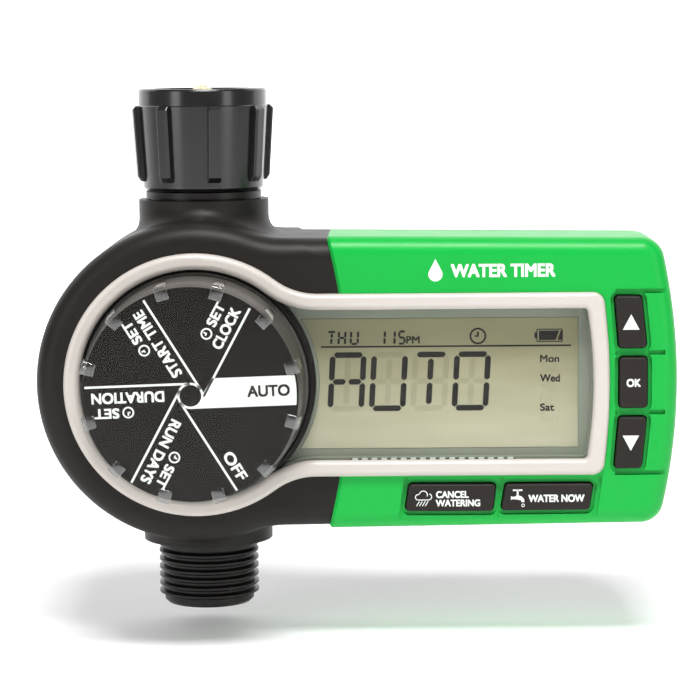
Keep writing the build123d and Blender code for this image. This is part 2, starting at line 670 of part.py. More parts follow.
def cell_rows():
    """Height and direction of the two cells: the upper one's button points right."""
    return [(AXIS_Z + CELL_PITCH / 2, 1), (AXIS_Z - CELL_PITCH / 2, -1)]


def contact_x():
    """Inner faces of the battery contacts, left and right."""
    return TRAY_X[0] + TRAY_WALL + CONTACT_T, TRAY_X[1] - TRAY_WALL - CONTACT_T


def make_cells():
    """Two AA cells."""
    left, right = contact_x()
    cells = []
    for z, way in cell_rows():
        tip = right if way > 0 else left
        shoulder = tip - way * CELL_NUB_L
        can = rod_x(CELL_R, shoulder - way * CELL_L, shoulder, CELL_Y, z)
        cells.append(can + rod_x(2.7, shoulder, tip, CELL_Y, z))
    return Compound(children=cells)


def make_contacts():
    """Contact plates and the two springs that press the cells."""
    left, right = contact_x()
    pieces = [block(right, right + CONTACT_T, CELL_Y - 5, CELL_Y + 5, AXIS_Z - 13, AXIS_Z + 13)]
    for z, way in cell_rows():
        pieces.append(block(left - CONTACT_T, left, CELL_Y - 5, CELL_Y + 5, z - 5, z + 5))
        back = CELL_NUB_L + CELL_L
        if way > 0:
            start, end = (left, CELL_Y, z), (right - back, CELL_Y, z)
        else:
            start, end = (left + back, CELL_Y, z), (right, CELL_Y, z)
        pieces.append(make_spring(start, end, 3.6, 0.4, 4))
    return Compound(children=pieces)


def make_tray():
    """Battery tray: an open box on the back of the door frame."""
    tray = block(*TRAY_X, TRAY_FLOOR_Y, TRAY_RIM_Y, *TRAY_Z)
    return tray - block(TRAY_X[0] + TRAY_WALL, TRAY_X[1] - TRAY_WALL, TRAY_FLOOR_Y + TRAY_WALL, 20,
                        TRAY_Z[0] + TRAY_WALL, TRAY_Z[1] - TRAY_WALL)


def make_case_screws():
    """Screws that join the two housing halves."""
    return Compound(children=[plate(disc(x, z, SCREW_R), SCREW_SEAT_Y, SCREW_TIP_Y)
                              + plate(disc(x, z, HEAD_R), SCREW_SEAT_Y + HEAD_T, SCREW_SEAT_Y)
                              - block(x - 2, x + 2, SCREW_SEAT_Y + 1.1, 30, z - 0.3, z + 0.3)
                              - block(x - 0.3, x + 0.3, SCREW_SEAT_Y + 1.1, 30, z - 2, z + 2)
                              for x, z in SCREWS])


def make_rotary_switch():
    """Switch body on the board, bored for the spindle."""
    body = block(DIAL_X - 12, DIAL_X + 12, SWITCH_FRONT_Y, BOARD_Y, AXIS_Z - 12, AXIS_Z + 12)
    return body - plate(disc(DIAL_X, AXIS_Z, SWITCH_BORE_R), 0, -40)


def main():
    os.makedirs("parts", exist_ok=True)
    outer = outer_solid()
    save("front_housing", make_front_housing(outer))
    save("rear_housing", make_rear_housing(outer))
    save("green_cover", make_green_cover())
    save("bezel", make_bezel())
    save("display_window", plate(lens_outline(0), LENS_Y[1], LENS_Y[0]))
    save("lcd_glass", plate(lcd_outline(0), LCD_BACK_Y, LCD_FRONT_Y))
    save("lcd_holder", make_lcd_holder())
    save("lcd_pins", make_lcd_pins())
    save("circuit_board", make_board())
    save("board_components", make_board_parts())
    save("board_screws", make_board_screws())
    save("keypad_mats", make_keypad_mats())
    save("rotary_switch", make_rotary_switch())
    for name in BUTTONS:
        save(name, make_button(name))
    save("dial_cap", make_dial_cap())
    save("dial_disc", plate(disc(DIAL_X, AXIS_Z, DISC_R), DISC_Y[1], DISC_Y[0]))
    save("dial_carrier", make_dial_carrier())
    save("swivel_nut", make_swivel_nut())
    save("inlet_tailpiece", make_tailpiece())
    save("inlet_washer", make_washer())
    save("inlet_strainer", make_strainer())
    save("valve_body", make_valve_body())
    save("diaphragm", make_diaphragm())
    save("valve_bonnet", make_bonnet())
    save("bonnet_screws", make_bonnet_screws())
    save("solenoid_coil", make_coil())
    save("solenoid_frame", make_coil_frame())
    save("solenoid_plunger", rod_x(PLUNGER_R, *PLUNGER_X))
    spring_ends = [(PLUNGER_X[1], 0, AXIS_Z), (PLUNGER_BORE_END_X, 0, AXIS_Z)]
    save("plunger_spring", make_spring(*spring_ends, 3.4, 0.35, 3))
    save("solenoid_leads", make_leads())
    save("battery_tray", make_tray())
    save("battery_cells", make_cells())
    save("battery_contacts", make_contacts())
    save("battery_door", make_battery_door())
    save("case_screws", make_case_screws())


main()
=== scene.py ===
import json
import math

import bmesh
import bpy
from mathutils import Matrix, Vector


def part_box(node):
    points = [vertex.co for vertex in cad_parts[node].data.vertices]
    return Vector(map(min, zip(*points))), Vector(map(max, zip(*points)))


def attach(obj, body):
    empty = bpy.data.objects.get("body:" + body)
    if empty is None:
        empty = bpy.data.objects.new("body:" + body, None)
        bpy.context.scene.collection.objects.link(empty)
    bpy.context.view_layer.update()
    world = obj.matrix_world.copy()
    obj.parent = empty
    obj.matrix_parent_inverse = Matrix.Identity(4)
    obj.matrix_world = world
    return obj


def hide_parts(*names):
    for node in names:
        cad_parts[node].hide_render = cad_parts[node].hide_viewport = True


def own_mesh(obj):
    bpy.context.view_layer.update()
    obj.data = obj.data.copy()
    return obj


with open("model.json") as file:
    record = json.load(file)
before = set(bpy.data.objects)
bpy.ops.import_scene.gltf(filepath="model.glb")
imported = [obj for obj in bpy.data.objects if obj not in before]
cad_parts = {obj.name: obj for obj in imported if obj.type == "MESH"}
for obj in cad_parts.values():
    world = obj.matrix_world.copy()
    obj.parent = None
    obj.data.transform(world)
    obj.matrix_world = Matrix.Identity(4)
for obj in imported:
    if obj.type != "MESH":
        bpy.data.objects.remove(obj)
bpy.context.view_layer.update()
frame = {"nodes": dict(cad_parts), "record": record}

MM = 0.001
NODES = frame["nodes"]


# ---------------------------------------------------------------- measures, metres

def centre_of(node):
    """Middle of a CAD node's box."""
    low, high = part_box(node)
    return (Vector(low) + Vector(high)) / 2


DIAL = centre_of("dial_disc")
DISC_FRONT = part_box("dial_disc")[0][1]
DISC_R = (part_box("dial_disc")[1][0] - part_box("dial_disc")[0][0]) / 2 / MM
CAP_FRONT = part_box("dial_cap")[0][1]
LCD_LOW, LCD_HIGH = (Vector(corner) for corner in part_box("lcd_glass"))
GREEN_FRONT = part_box("green_cover")[0][1]
FLOOR_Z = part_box("valve_body")[0][2] - 6 * MM


# ---------------------------------------------------------------- materials

def srgb(code):
    """Linear colour from a hex code."""
    values = [int(code[i:i + 2], 16) / 255 for i in (0, 2, 4)]
    return [v / 12.92 if v <= 0.04045 else ((v + 0.055) / 1.055) ** 2.4 for v in values] + [1.0]


class Nodes:
    """A material's node tree with short ways to add what most finishes share."""

    def __init__(self, name):
        self.material = bpy.data.materials.new(name)
        self.material.use_nodes = True
        self.tree = self.material.node_tree
        self.shader = self.tree.nodes["Principled BSDF"]
        self.coords = self.tree.nodes.new("ShaderNodeTexCoord").outputs["Object"]

    def add(self, kind, **values):
        node = self.tree.nodes.new(kind)
        for key, value in values.items():
            if hasattr(node, key):
                setattr(node, key, value)
            else:
                node.inputs[key.replace("_", " ")].default_value = value
        return node

    def link(self, source, target):
        self.tree.links.new(source, target)

    def noise(self, scale, detail=3.0, roughness=0.55):
        node = self.add("ShaderNodeTexNoise", Scale=scale, Detail=detail, Roughness=roughness)
        self.link(self.coords, node.inputs["Vector"])
        return node.outputs["Fac"]

    def ramp(self, source, low, high):
        """Map 0..1 to low..high."""
        node = self.add("ShaderNodeMapRange")
        node.inputs["To Min"].default_value = low
        node.inputs["To Max"].default_value = high
        self.link(source, node.inputs["Value"])
        return node.outputs["Result"]

    def blend(self, factor, first, second):
        node = self.add("ShaderNodeMix", data_type="RGBA")
        for socket in node.inputs:
            if socket.type == "RGBA":
                socket.default_value = first if socket.name == "A" else second
        self.link(factor, node.inputs["Factor"])
        return [s for s in node.outputs if s.type == "RGBA"][0]

    def bump(self, height, strength, distance):
        node = self.add("ShaderNodeBump", Strength=strength, Distance=distance)
        self.link(height, node.inputs["Height"])
        if self.shader.inputs["Normal"].links:
            self.link(self.shader.inputs["Normal"].links[0].from_socket, node.inputs["Normal"])
        self.link(node.outputs["Normal"], self.shader.inputs["Normal"])

    def set(self, **values):
        for key, value in values.items():
            self.shader.inputs[key.replace("_", " ")].default_value = value


def moulded(name, dark, light, roughness, grain=9000.0, depth=0.00002, coat=0.0, specular=0.5):
    """Injection-moulded plastic: fine sparked grain, cloudy colour and gloss."""
    m = Nodes(name)
    cloud = m.noise(28.0, 4.0)
    m.link(m.blend(cloud, srgb(dark), srgb(light)), m.shader.inputs["Base Color"])
    m.link(m.ramp(m.noise(140.0, 5.0), roughness - 0.05, roughness + 0.07), m.shader.inputs["Roughness"])
    m.bump(m.noise(grain, 2.0, 0.6), 0.35, depth)
    m.set(Coat_Weight=coat, Specular_IOR_Level=specular, Coat_Roughness=0.12)
    return m.material


def metal(name, dark, light, roughness, stretch=(1.0, 1.0, 1.0)):
    """Drawn or plated metal with fine directional marks."""
    m = Nodes(name)
    mapping = m.add("ShaderNodeMapping")
    mapping.inputs["Scale"].default_value = stretch
    m.link(m.coords, mapping.inputs["Vector"])
    marks = m.add("ShaderNodeTexNoise", Scale=900.0, Detail=6.0)
    m.link(mapping.outputs["Vector"], marks.inputs["Vector"])
    m.link(m.blend(marks.outputs["Fac"], srgb(dark), srgb(light)), m.shader.inputs["Base Color"])
    m.link(m.ramp(marks.outputs["Fac"], roughness - 0.06, roughness + 0.1), m.shader.inputs["Roughness"])
    m.bump(marks.outputs["Fac"], 0.3, 0.00001)
    m.set(Metallic=1.0)
    return m.material


def clear(name, roughness, facing, edge):
    """Clear moulded plastic: see-through with a mirror-like skin, stronger at a slant."""
    m = Nodes(name)
    m.link(m.blend(m.noise(60.0), srgb("F4F6F4"), srgb("FFFFFF")), m.shader.inputs["Base Color"])
    m.link(m.ramp(m.noise(400.0, 4.0), roughness * 0.7, roughness * 1.3), m.shader.inputs["Roughness"])
    m.bump(m.noise(70.0, 1.0), 0.1, 0.00003)
    m.set(Metallic=1.0)
    slant = m.add("ShaderNodeLayerWeight", Blend=0.3)
    m.link(m.ramp(slant.outputs["Facing"], facing, edge), m.shader.inputs["Alpha"])
    m.material.surface_render_method = "BLENDED"
    return m.material


def ink(name, dark, light, alpha=1.0):
    """Pad-printed ink, slightly uneven."""
    m = Nodes(name)
    m.link(m.blend(m.noise(700.0, 4.0), srgb(dark), srgb(light)), m.shader.inputs["Base Color"])
    m.link(m.ramp(m.noise(1500.0), 0.42, 0.58), m.shader.inputs["Roughness"])
    m.bump(m.noise(3000.0), 0.2, 0.00001)
    m.set(Alpha=alpha, Specular_IOR_Level=0.2)
    if alpha < 1.0:
        m.material.surface_render_method = "BLENDED"
    return m.material


def lcd_material():
    """Olive reflective display with faint level streaks, lighter towards its foot; the darkening towards
    its top is painted shade under the bezel.
    """
    m = Nodes("lcd")
    axes = m.add("ShaderNodeSeparateXYZ")
    m.link(m.coords, axes.inputs["Vector"])
    # painted shade: the colour darkens from the display's foot to its top, as the bezel shades it
    height = m.add("ShaderNodeMapRange")
    height.inputs["From Min"].default_value = LCD_LOW.z
    height.inputs["From Max"].default_value = LCD_HIGH.z
    m.link(axes.outputs["Z"], height.inputs["Value"])
    mapping = m.add("ShaderNodeMapping")
    mapping.inputs["Scale"].default_value = (0.18, 1.0, 1.0)
    m.link(m.coords, mapping.inputs["Vector"])
    streak = m.add("ShaderNodeTexNoise", Scale=260.0, Detail=3.0)
    m.link(mapping.outputs["Vector"], streak.inputs["Vector"])
    streaks_and_painted_shade = m.add("ShaderNodeMath", operation="MULTIPLY_ADD")
    streaks_and_painted_shade.inputs[1].default_value = 0.35
    m.link(streak.outputs["Fac"], streaks_and_painted_shade.inputs[0])
    m.link(height.outputs["Result"], streaks_and_painted_shade.inputs[2])
    m.link(m.blend(m.ramp(streaks_and_painted_shade.outputs["Value"], -0.1, 0.95), srgb("BEBDA2"), srgb("85825F")),
           m.shader.inputs["Base Color"])
    m.link(m.ramp(streak.outputs["Fac"], 0.3, 0.5), m.shader.inputs["Roughness"])
    return m.material


def rubber(name, dark, light):
    """Soft rubber, dull and slightly mottled."""
    m = Nodes(name)
    m.link(m.blend(m.noise(300.0), srgb(dark), srgb(light)), m.shader.inputs["Base Color"])
    m.link(m.ramp(m.noise(800.0), 0.6, 0.8), m.shader.inputs["Roughness"])
    m.bump(m.noise(2500.0), 0.3, 0.00003)
    return m.material


FINISH = {
    "black_housing": moulded("black_housing", "1A1715", "221E1B", 0.44, specular=0.22),
    "green_plastic": moulded("green_plastic", "06A83C", "0BB244", 0.36, specular=0.3),
    "grey_trim": moulded("grey_trim", "C6BFB8", "D2CBC4", 0.32, coat=0.15),
    "clear_plastic": clear("clear_plastic", 0.06, 0.005, 0.18),
    "lcd": lcd_material(),
    # the holder's grey is its own colour; the green tint in it is a painted reflection of the green cover
    "frame_plastic": moulded("frame_plastic", "7F8676", "8F9686", 0.45),
    "contact_metal": metal("contact_metal", "D8D8D0", "F4F4EE", 0.25),
    "board": moulded("board", "0A3A1C", "125028", 0.35),
    "chips": moulded("chips", "141414", "202020", 0.5),
    "screw_steel": metal("screw_steel", "8A8C90", "B8BABD", 0.35, (1.0, 8.0, 1.0)),
    "key_mat": rubber("key_mat", "8E9090", "A4A6A6"),
    "switch_plastic": moulded("switch_plastic", "1A1A1C", "262628", 0.5),
    "button_plastic": moulded("button_plastic", "1F1A18", "2A2422", 0.52, grain=5200.0, depth=0.00006,
                              specular=0.25),
    "dial_print": moulded("dial_print", "14110E", "1B1714", 0.5, grain=3000.0, depth=0.000004,
                          specular=0.12),
    "carrier_plastic": moulded("carrier_plastic", "524E4A", "605C57", 0.45, specular=0.3),
    "nut_plastic": moulded("nut_plastic", "0D0C0C", "151414", 0.2, coat=0.35),
    "valve_plastic": moulded("valve_plastic", "120F0E", "1A1715", 0.36, specular=0.3),
    "washer_rubber": rubber("washer_rubber", "121212", "1E1E1E"),
    "strainer_mesh": metal("strainer_mesh", "D8CDB0", "F4EFDC", 0.35),
    "coil": moulded("coil", "5A2A12", "7A3A1A", 0.25, grain=3000.0, depth=0.0001),
    "lead_insulation": rubber("lead_insulation", "8E1410", "A41C16"),
    "tray_plastic": moulded("tray_plastic", "1C1B1A", "242322", 0.5),
    # painted highlight: the display's metal pins get a pale non-metal colour that stands for their glints
    "pin_strip": moulded("pin_strip", "DCE8DC", "ECF4EA", 0.4),
    "cells": moulded("cells", "3A3D40", "4A4D50", 0.3, coat=0.3),
}
FINISH["clear_lumps"] = clear("clear_lumps", 0.1, 0.12, 0.9)
INK = {
    "white": ink("ink_white", "E4E8E2", "F2F5F0"),
    "black": ink("ink_black", "24201E", "2E2A26"),
    "segment": ink("lcd_segment", "1C1A18", "26231F"),
    # painted highlight: near-white ink for the glints on the display's pin ends
    "pin": ink("pin_painted_glint", "E8F2E8", "F8FFF8"),
    "ghost": ink("lcd_ghost", "4C4A38", "57553F", 0.09),
}
SLOT_OF = {row["node"]: row["material_slot"] for row in frame["record"]["subparts"]}


def dress(obj, finish):
    """Give an object one finish on every slot it has."""
    if not obj.material_slots:
        obj.data.materials.append(FINISH[finish])
    for slot in obj.material_slots:
        slot.material = FINISH[finish]


for node_name, node_object in NODES.items():
    dress(node_object, SLOT_OF[node_name])


# ---------------------------------------------------------------- pieces

def finished(name, bm, body, material):
    """Turn a bmesh into a piece of the object."""
    mesh = bpy.data.meshes.new(name)
    bm.to_mesh(mesh)
    bm.free()
    piece = bpy.data.objects.new(name, mesh)
    bpy.context.collection.objects.link(piece)
    mesh.materials.append(material)
    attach(piece, body)
    return piece


class Artwork:
    """Flat shapes of one colour on a surface that faces front; sizes in millimetres."""

    def __init__(self, surface):
        self.bm = bmesh.new()
        self.depth = surface - 0.04 * MM
        self.place = Matrix.Identity(4)

    def at(self, x, z, turn=0.0, lean=0.0):
        """Draw about this point from now on, turned anticlockwise in degrees."""
        shear = Matrix.Identity(4)
        shear[0][2] = lean
        move = Matrix.Translation((x * MM, self.depth, z * MM))
        self.place = move @ Matrix.Rotation(math.radians(-turn), 4, "Y") @ Matrix.Scale(MM, 4) @ shear

    def polygon(self, points):
        """Filled outline."""
        self.bm.faces.new([self.bm.verts.new(self.place @ Vector((x, 0, z))) for x, z in points])

    def bar(self, start, end, width, point=0.0):
        """Straight stroke; point is how far each end tapers beyond its corners."""
        along = (Vector(end) - Vector(start)).normalized()
        side = Vector((-along.y, along.x)) * width / 2
        tip = along * point
        first, last = Vector(start) + tip, Vector(end) - tip
        corners = [first + side, first - side, last - side, last + side]
        if point:
            corners = [first + side, Vector(start), first - side, last - side, Vector(end), last + side]
        self.polygon(corners)

    def arc(self, radius, width, start=0.0, end=360.0, x=0.0, z=0.0):
        """Stroke along a circle between two angles."""
        steps = max(6, int(abs(end - start) / 6))
        for step in range(steps):
            rim = []
            for index in (step, step + 1):
                angle = math.radians(start + (end - start) * index / steps)
                rim.append((math.cos(angle), math.sin(angle)))
            inner, outer = radius - width / 2, radius + width / 2
            self.polygon([(x + rim[0][0] * inner, z + rim[0][1] * inner),
                          (x + rim[1][0] * inner, z + rim[1][1] * inner),
                          (x + rim[1][0] * outer, z + rim[1][1] * outer),
                          (x + rim[0][0] * outer, z + rim[0][1] * outer)])

    def letters(self, text, x, z, width, height, weight=0.12):
        """Sans letters fitted into a box whose lower left corner is given, thickened by copies."""
        curve = bpy.data.curves.new("letters", "FONT")
        curve.body = text
        holder = bpy.data.objects.new("letters", curve)
        mesh = bpy.data.meshes.new_from_object(holder)
        low = [min(v.co[axis] for v in mesh.vertices) for axis in (0, 1)]
        high = [max(v.co[axis] for v in mesh.vertices) for axis in (0, 1)]
        across = (width - 2 * weight) / (high[0] - low[0])
        tall = (height - 2 * weight) / (high[1] - low[1])
        drawn = [v.co.copy() for v in mesh.vertices]
        copies = ((-1, -1), (1, -1), (1, 1), (-1, 1), (0, 0)) if weight else ((0, 0),)
        for layer, (right, up) in enumerate(copies):
            left, foot = x + weight * (1 + right), z + weight * (1 + up)
            for vertex, co in zip(mesh.vertices, drawn):
                flat = Vector((left + (co.x - low[0]) * across, -0.003 * layer,
                               foot + (co.y - low[1]) * tall))
                vertex.co = self.place @ flat
            self.bm.from_mesh(mesh)
        bpy.data.objects.remove(holder)
        bpy.data.curves.remove(curve)
        bpy.data.meshes.remove(mesh)

    def clock(self, radius, stroke, x=0.0, z=0.0):
        """Small clock face with two hands."""
        self.arc(radius, stroke, x=x, z=z)
        self.bar((x, z - 0.1 * radius), (x, z + 0.62 * radius), stroke)
        self.bar((x, z), (x - 0.45 * radius, z), stroke * 0.8)

    def done(self, name, body, slot, colour):
        """Make the piece."""
        return finished(name, self.bm, body, INK[colour])


# ---------------------------------------------------------------- dial

DIAL_TURN = 1.8           # the whole print stands this far anticlockwise, degrees
PRINT_DROP = 0.2           # and this far below the disc's centre
HUB_R = 3.05
STROKE = 0.58
TEXT_END = 25.1           # the words end this far from the centre
BASE = -1.55              # foot of the words nearest the line, HUB_R below the centre
BAND_W = 7.6
SECTORS = [(60, "CLOCK", 11.3), (120, "START TIME", 19.2), (180, "DURATION", 18.5), (240, "RUN DAYS", 17.8)]


def dial_print():
    """White lines, band and words on the dark disc, and the dark word on the band."""
    art = Artwork(DISC_FRONT)
    centre = (DIAL.x / MM, DIAL.z / MM - PRINT_DROP)
    rim = DISC_R - 0.45
    for angle in range(60, 360, 60):
        art.at(*centre, turn=angle + DIAL_TURN)
        start = 1.4 if angle == 60 else 0.0
        art.bar((start, -HUB_R), (math.sqrt(rim ** 2 - HUB_R ** 2), -HUB_R), STROKE)
    for angle, word, width in SECTORS:
        art.at(*centre, turn=angle + DIAL_TURN)
        art.letters(word, TEXT_END - width, BASE, width, 2.85)
        art.letters("SET", 18.2, BASE + 4.0, 6.3, 2.65)
        art.clock(1.28, 0.42, x=15.9, z=BASE + 5.2)
    art.at(*centre, turn=300 + DIAL_TURN)
    art.letters("OFF", 17.2, BASE, TEXT_END - 17.2, 2.95)
    art.at(*centre, turn=DIAL_TURN)
    art.arc(HUB_R, STROKE)
    low, high = -HUB_R - STROKE / 2, -HUB_R - STROKE / 2 + BAND_W
    hub = HUB_R + STROKE / 2
    inner = [(hub * math.cos(math.radians(a)), hub * math.sin(math.radians(a))) for a in range(-90, 11, 10)]
    outer = []
    for step in range(9):
        z = low + (high - low) * step / 8
        outer.append((math.sqrt(rim ** 2 - z ** 2), z))
    top_left = (hub * 1.15 + (high - 0.6) * 0.52, high)
    art.polygon([(0, low)] + outer + [top_left] + inner[:0:-1])
    art.done("dial_print", "dial", "dial_print", "white")
    word = Artwork(DISC_FRONT - 0.02 * MM)
    word.at(*centre, turn=DIAL_TURN)
    word.letters("AUTO", 14.4, -0.95, 10.8, 3.0)
    word.done("dial_band_word", "dial", "dial_print", "black")


GRIPS = 12
GRIP_PROUD = 0.3


def cap_grips():
    """Twelve clear lumps on the cap's front corner, wedge-shaped towards the back."""
    bm = bmesh.new()
    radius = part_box("dial_cap")[1][0] - DIAL.x
    front, back = CAP_FRONT - GRIP_PROUD * MM, CAP_FRONT + 9.5 * MM
    for index in range(GRIPS):
        turn = Matrix.Rotation(math.radians(-360 / GRIPS * (index + 0.5)), 4, "Y")
        rows = [(front, 24.9 * MM, radius - 1.0 * MM, 1.65 * MM, 1.75 * MM),
                (back, 26.6 * MM, radius - 0.3 * MM, 1.1 * MM, 1.15 * MM)]
        corners = []
        for y, inner, outer, half_in, half_out in rows:
            for x, z in ((inner, -half_in), (inner, half_in), (outer, half_out), (outer, -half_out)):
                spot = turn @ Vector((x, 0, z))
                corners.append(bm.verts.new((DIAL.x + spot.x, y, DIAL.z + spot.z)))
        for face in ((0, 1, 2, 3), (7, 6, 5, 4), (0, 4, 5, 1), (1, 5, 6, 2), (2, 6, 7, 3), (3, 7, 4, 0)):
            bm.faces.new([corners[i] for i in face])
    bmesh.ops.recalc_face_normals(bm, faces=bm.faces)
    bmesh.ops.bevel(bm, geom=bm.edges[:], offset=0.28 * MM, segments=2, affect="EDGES", profile=0.7)
    piece = finished("dial_cap_grips", bm, "dial", FINISH["clear_lumps"])
    for face in piece.data.polygons:
        face.use_smooth = True


# ---------------------------------------------------------------- display

LCD_LEAN = 0.059
BAR_W = 1.5
CELL_HALF_W = 4.05
CELL_HALF_H = 7.05
CELL_PITCH = 10.83
FIRST_CELL_X = 38.35
CELL_Z = -76.35
PIN_ROW_Z = -96.3
PIN_COUNT = 17
PIN_W = 1.5


def cell_bar(art, name):
    """One bar of a character cell, named by its place."""
    w, h, cut = CELL_HALF_W, CELL_HALF_H, 0.25
    runs = {
        "top": ((-w + cut, h), (w - cut, h)), "foot": ((-w + cut, -h), (w - cut, -h)),
        "upper_left": ((-w, h - cut), (-w, cut)), "upper_right": ((w, h - cut), (w, cut)),
        "lower_left": ((-w, -cut), (-w, cut - h)), "lower_right": ((w, -cut), (w, cut - h)),
        "mid_left": ((-w + cut, 0), (-cut, 0)), "mid_right": ((cut, 0), (w - cut, 0)),
        "upper_stem": ((0, h - 1.0), (0, cut)), "lower_stem": ((0, -cut), (0, 0.9 - h)),
    }
    art.bar(*runs[name], BAR_W, point=0.6)


CELL_BARS = ["top", "foot", "upper_left", "upper_right", "lower_left", "lower_right", "mid_left",
             "mid_right", "upper_stem", "lower_stem"]
LIT = [
    ["top", "upper_left", "upper_right", "lower_left", "lower_right", "mid_left", "mid_right"],
    ["foot", "upper_left", "upper_right", "lower_left", "lower_right"],
    ["top", "upper_stem", "lower_stem"],
    ["top", "foot", "upper_left", "upper_right", "lower_left", "lower_right"],
]


def small_strokes(art, x, z, strokes):
    """Thin-bar character 3.2 mm tall with its lower left corner at a point."""
    art.at(x, z, lean=0.05)
    for start, end in strokes:
        art.bar(start, end, 0.58)


def display_marks():
    """Dark and faint segments of the display."""
    front = LCD_LOW.y
    lit, faint = Artwork(front), Artwork(front + 0.01 * MM)
    for index, bars in enumerate(LIT):
        for art, names in ((lit, bars), (faint, [b for b in CELL_BARS if b not in bars])):
            art.at(FIRST_CELL_X + CELL_PITCH * index, CELL_Z, lean=LCD_LEAN)
            for name in names:
                cell_bar(art, name)
    tee = [((0.1, 3.2), (1.9, 3.2)), ((1.05, 2.75), (1.05, 1.7)), ((1.0, 1.4), (1.0, 0.1))]
    aitch = [((0.2, 3.2), (0.2, 1.75)), ((0.2, 1.45), (0.2, 0)), ((1.9, 3.2), (1.9, 1.75)),
             ((1.9, 1.45), (1.9, 0)), ((0.5, 1.6), (1.6, 1.6))]
    you = [((0.2, 3.2), (0.2, 1.75)), ((0.2, 1.45), (0.2, 0.2)), ((2.0, 3.2), (2.0, 1.75)),
           ((2.0, 1.45), (2.0, 0.2)), ((0.4, 0), (1.8, 0))]
    one = [((0.2, 3.2), (0.2, 1.75)), ((0.2, 1.45), (0.2, 0))]
    five = [((0.1, 3.2), (1.5, 3.2)), ((0.1, 3.0), (0.1, 1.8)), ((0.2, 1.6), (1.4, 1.6)),
            ((1.5, 1.4), (1.5, 0.2)), ((0.1, 0), (1.4, 0))]
    for x, strokes in ((33.3, tee), (36.0, aitch), (39.2, you), (48.0, one), (50.6, one), (51.9, five)):
        small_strokes(lit, x, -66.4, strokes)
    lit.at(0, 0)
    faint.at(0, 0)
    lit.letters("PM", 53.9, -66.4, 3.5, 1.95, weight=0.07)
    lit.clock(1.95, 0.5, x=72.6, z=-64.55)
    lit.bar((31.6, -67.15), (96.9, -67.15), 0.46)
    for word, width, z in (("Mon", 5.0, -71.5), ("Wed", 5.2, -76.6), ("Sat", 3.7, -84.3)):
        lit.letters(word, 88.8, z - 0.1, width, 2.0, weight=0.07)
    for word, width, z in (("Tue", 4.2, -74.0), ("Thu", 4.3, -79.2), ("Fri", 3.2, -81.8),
                           ("Sun", 4.6, -86.9)):
        faint.letters(word, 88.8, z - 0.1, width, 2.0, weight=0.0)
    battery_mark(lit)
    lit.done("lcd_segments", "housing", "lcd", "segment")
    faint.done("lcd_faint_segments", "housing", "lcd", "ghost")


def painted_pin_glints():
    """Painted highlights for the glints on the display's pins: bright marks in a row under it."""
    pins_low, pins_high = (Vector(corner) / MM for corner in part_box("lcd_pins"))
    art = Artwork(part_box("lcd_holder")[0][1])
    pitch = (pins_high.x - pins_low.x - PIN_W) / (PIN_COUNT - 1)
    for index in range(PIN_COUNT):
        art.at(pins_low.x + PIN_W / 2 + pitch * index, PIN_ROW_Z)
        art.bar((-0.72, 0), (0.72, 0), 0.55)
    art.done("lcd_pin_painted_glints", "housing", "pin_strip", "pin")


def battery_mark(art):
    """Battery outline with a filled charge that ends on a slant."""
    left, right, low, high = 88.0, 94.6, -66.1, -62.9
    for start, end in (((left, low), (right, low)), ((left, high), (right, high)),
                       ((right, low), (right, high)), ((left, low), (left, high))):
        art.bar(start, end, 0.28)
    art.polygon([(left - 0.65, -65.3), (left, -65.3), (left, -63.7), (left - 0.65, -63.7)])
    art.polygon([(left + 0.5, low + 0.35), (right - 1.7, low + 0.35), (right - 0.8, high - 0.35),
                 (left + 0.5, high - 0.35)])
    art.polygon([(right - 1.3, low + 0.35), (right, low + 0.35), (right, high - 0.35),
                 (right - 0.4, high - 0.35)])


# ---------------------------------------------------------------- marks on the buttons and the cover

def button_marks():
    """White signs on the five buttons."""
    for name, way in (("up_button", 1), ("down_button", -1)):
        art, x, z = on_button(name)
        art.at(x, z)
        art.polygon([(-2.15, -1.95 * way), (2.15, -1.95 * way), (0, 2.05 * way)][::way])
        art.done(name + "_mark", name, "button_plastic", "white")
    art, x, z = on_button("ok_button")
    art.at(x, z)
    art.letters("OK", -1.85, -1.1, 3.7, 2.15, weight=0.1)
    art.done("ok_button_mark", "ok_button", "button_plastic", "white")
    art = on_button("cancel_button")[0]
    rain_cloud(art, 58.05, -106.2)
    art.at(0, 0)
    art.letters("CANCEL", 61.35, -106.3, 8.5, 1.85, weight=0.08)
    art.letters("WATERING", 61.25, -108.55, 11.6, 1.85, weight=0.08)
    art.done("cancel_button_mark", "cancel_button", "button_plastic", "white")
    art = on_button("water_now_button")[0]
    tap_sign(art, 82.6, -106.3)
    art.at(0, 0)
    art.letters("WATER NOW", 85.4, -107.55, 14.6, 2.0, weight=0.09)
    art.done("water_now_button_mark", "water_now_button", "button_plastic", "white")


def on_button(name):
    """Artwork for a button's front, and the front's centre in millimetres."""
    middle = centre_of(name)
    return Artwork(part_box(name)[0][1]), middle.x / MM, middle.z / MM


def rain_cloud(art, x, z):
    """Outlined cloud over four slanting drops."""
    art.at(x, z)
    art.arc(1.05, 0.24, -20, 170, x=0.0, z=0.75)
    art.arc(0.72, 0.24, 75, 270, x=-1.35, z=0.15)
    art.arc(0.8, 0.24, -90, 75, x=1.35, z=0.25)
    art.bar((-1.4, -0.57), (1.4, -0.57), 0.24)
    for step in range(4):
        start = -1.05 + 0.75 * step
        art.bar((start, -0.95), (start - 0.75, -2.2), 0.22)


